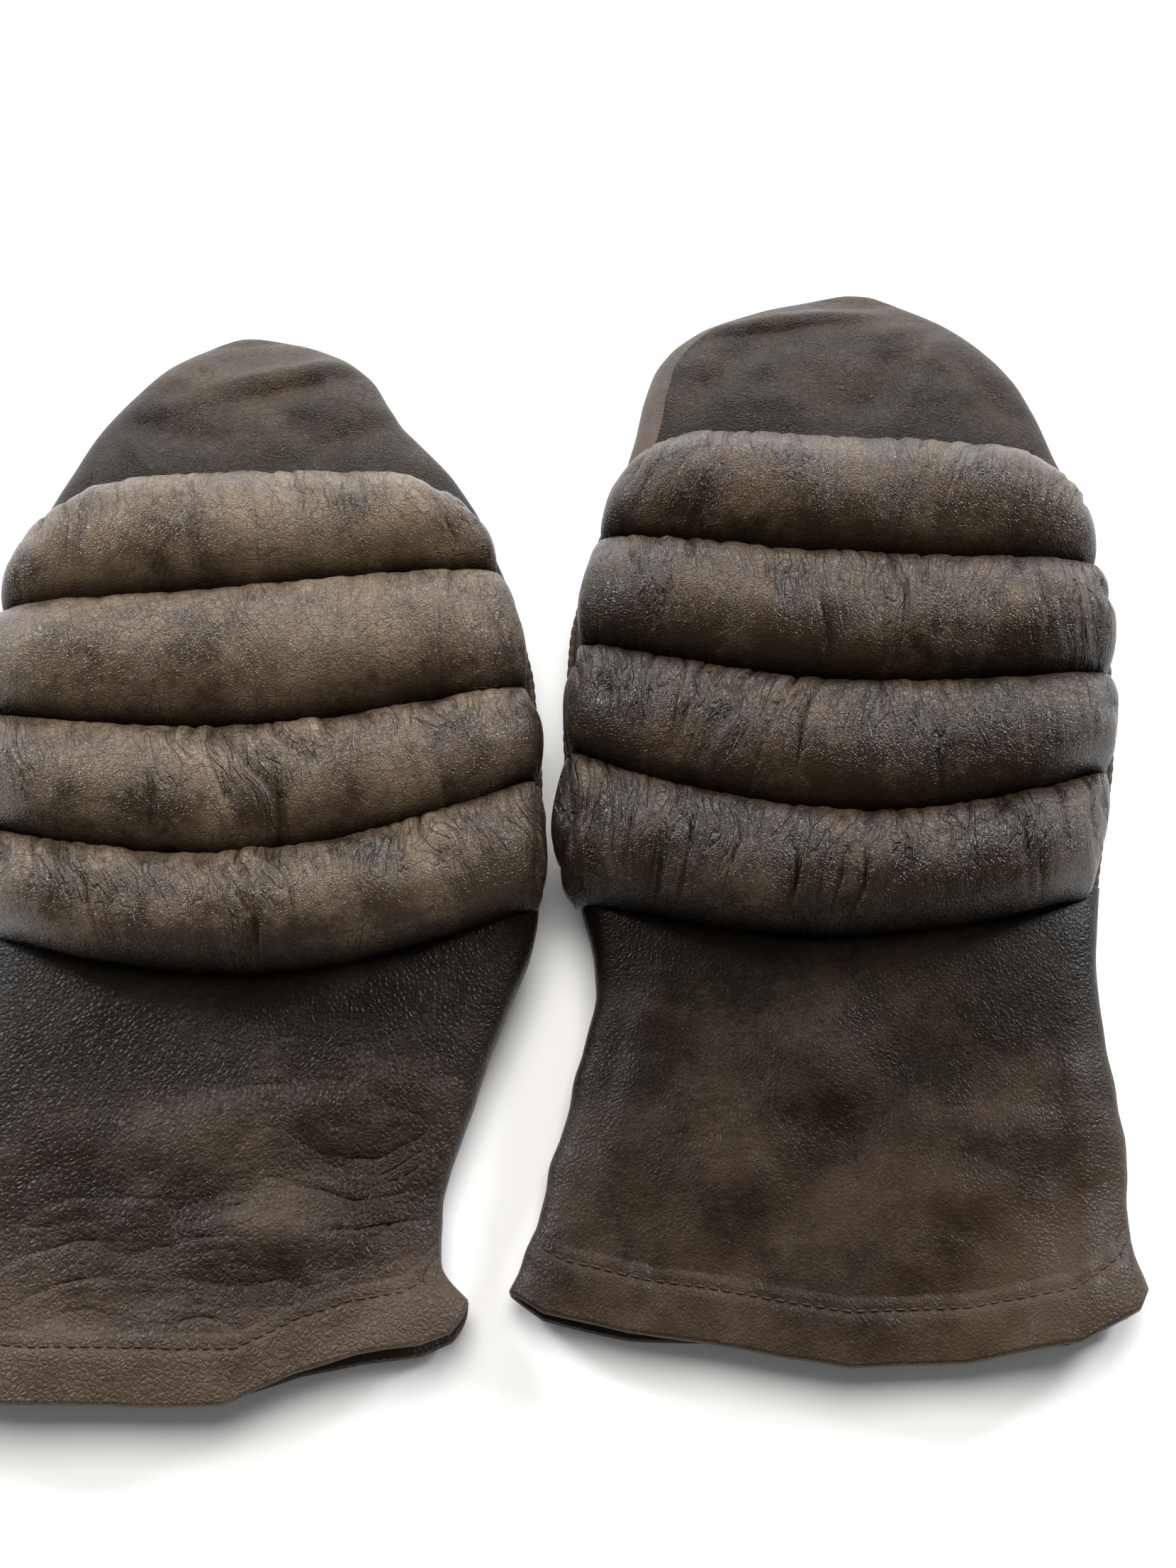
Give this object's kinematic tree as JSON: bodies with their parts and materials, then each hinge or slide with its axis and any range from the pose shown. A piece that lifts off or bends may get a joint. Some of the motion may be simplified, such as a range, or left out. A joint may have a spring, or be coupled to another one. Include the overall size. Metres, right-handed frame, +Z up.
{
  "type": "padded leather mitts",
  "caption": "Pair of worn leather gauntlet mitts lying palm down, each with stuffed rolls across the back, a plain finger cap and a flared stitched cuff.",
  "frame": {"origin": "bottom centre of the pair's bounding box, on the bench surface", "axes": "+Y from the cuffs towards the fingertips, +X from the left mitt to the right mitt, +Z up from the palms to the padded backs"},
  "size_m": [0.3106, 0.3174, 0.0474],
  "materials": {
    "leather_back": "worn dark brown grain leather, satin",
    "leather_roll": "creased brown grain leather rubbed lighter along the rolls, satin",
    "leather_palm": "dark brown leather, satin",
    "leather_cuff": "pebbled dark brown leather, satin",
    "lining_cloth": "plain woven cotton, matt",
    "stuffing_wool": "packed wool stuffing, matt",
    "thread": "waxed tan thread, matt"
  },
  "bodies": {
    "right_hand": {"right_groove_thread_2_3": "thread", "right_groove_thread_3_4": "thread", "right_hand_back": "leather_back", "right_hand_lining": "lining_cloth", "right_hand_palm": "leather_palm", "right_roll_2_stuffing": "stuffing_wool", "right_roll_3_stuffing": "stuffing_wool", "right_roll_4_stuffing": "stuffing_wool", "right_roll_panel_hand": "leather_roll", "right_side_welt_inner": "leather_palm", "right_side_welt_outer": "leather_palm"},
    "right_fingers": {"right_finger_back": "leather_back", "right_finger_cap": "leather_back", "right_finger_lining": "lining_cloth", "right_finger_palm": "leather_palm", "right_groove_thread_cap": "thread", "right_roll_1_stuffing": "stuffing_wool", "right_roll_panel_fingers": "leather_roll"},
    "right_cuff": {"right_cuff_back": "leather_cuff", "right_cuff_lining": "lining_cloth", "right_cuff_palm": "leather_cuff", "right_hem_thread": "thread"},
    "right_thumb": {"right_thumb_inner": "leather_palm", "right_thumb_lining": "lining_cloth", "right_thumb_outer": "leather_palm"},
    "left_hand": {"left_groove_thread_2_3": "thread", "left_groove_thread_3_4": "thread", "left_hand_back": "leather_back", "left_hand_lining": "lining_cloth", "left_hand_palm": "leather_palm", "left_roll_2_stuffing": "stuffing_wool", "left_roll_3_stuffing": "stuffing_wool", "left_roll_4_stuffing": "stuffing_wool", "left_roll_panel_hand": "leather_roll", "left_side_welt_inner": "leather_palm", "left_side_welt_outer": "leather_palm"},
    "left_fingers": {"left_finger_back": "leather_back", "left_finger_cap": "leather_back", "left_finger_lining": "lining_cloth", "left_finger_palm": "leather_palm", "left_groove_thread_cap": "thread", "left_roll_1_stuffing": "stuffing_wool", "left_roll_panel_fingers": "leather_roll"},
    "left_cuff": {"left_cuff_back": "leather_cuff", "left_cuff_lining": "lining_cloth", "left_cuff_palm": "leather_cuff", "left_hem_thread": "thread"},
    "left_thumb": {"left_thumb_inner": "leather_palm", "left_thumb_lining": "lining_cloth", "left_thumb_outer": "leather_palm"}
  },
  "joints": [
    {"name": "right_mitt_slide", "type": "slide", "parent": "left_hand", "child": "right_hand", "axis": [1, 0, 0], "range_m": [0, 0.25]},
    {"name": "right_knuckle_flex", "type": "hinge", "parent": "right_hand", "child": "right_fingers", "pos_m": [0.08458, 0.06104, 0.01586], "axis": [-0.9981, 0.061, 0], "range_deg": [0, 35]},
    {"name": "right_wrist_flex", "type": "hinge", "parent": "right_hand", "child": "right_cuff", "pos_m": [0.07796, -0.04726, 0.01501], "axis": [0.9981, -0.061, 0], "range_deg": [0, 25]},
    {"name": "right_thumb_swing", "type": "hinge", "parent": "right_hand", "child": "right_thumb", "pos_m": [0.03082, -0.01532, 0.0046], "axis": [0, 0, -1], "range_deg": [0, 45]},
    {"name": "left_knuckle_flex", "type": "hinge", "parent": "left_hand", "child": "left_fingers", "pos_m": [-0.07173, 0.04598, 0.01586], "axis": [-0.9962, -0.0872, 0], "range_deg": [0, 35]},
    {"name": "left_wrist_flex", "type": "hinge", "parent": "left_hand", "child": "left_cuff", "pos_m": [-0.06228, -0.06211, 0.01501], "axis": [0.9962, 0.0872, 0], "range_deg": [0, 25]},
    {"name": "left_thumb_swing", "type": "hinge", "parent": "left_hand", "child": "left_thumb", "pos_m": [-0.01599, -0.02895, 0.0046], "axis": [0, 0, 1], "range_deg": [0, 45]}
  ]
}
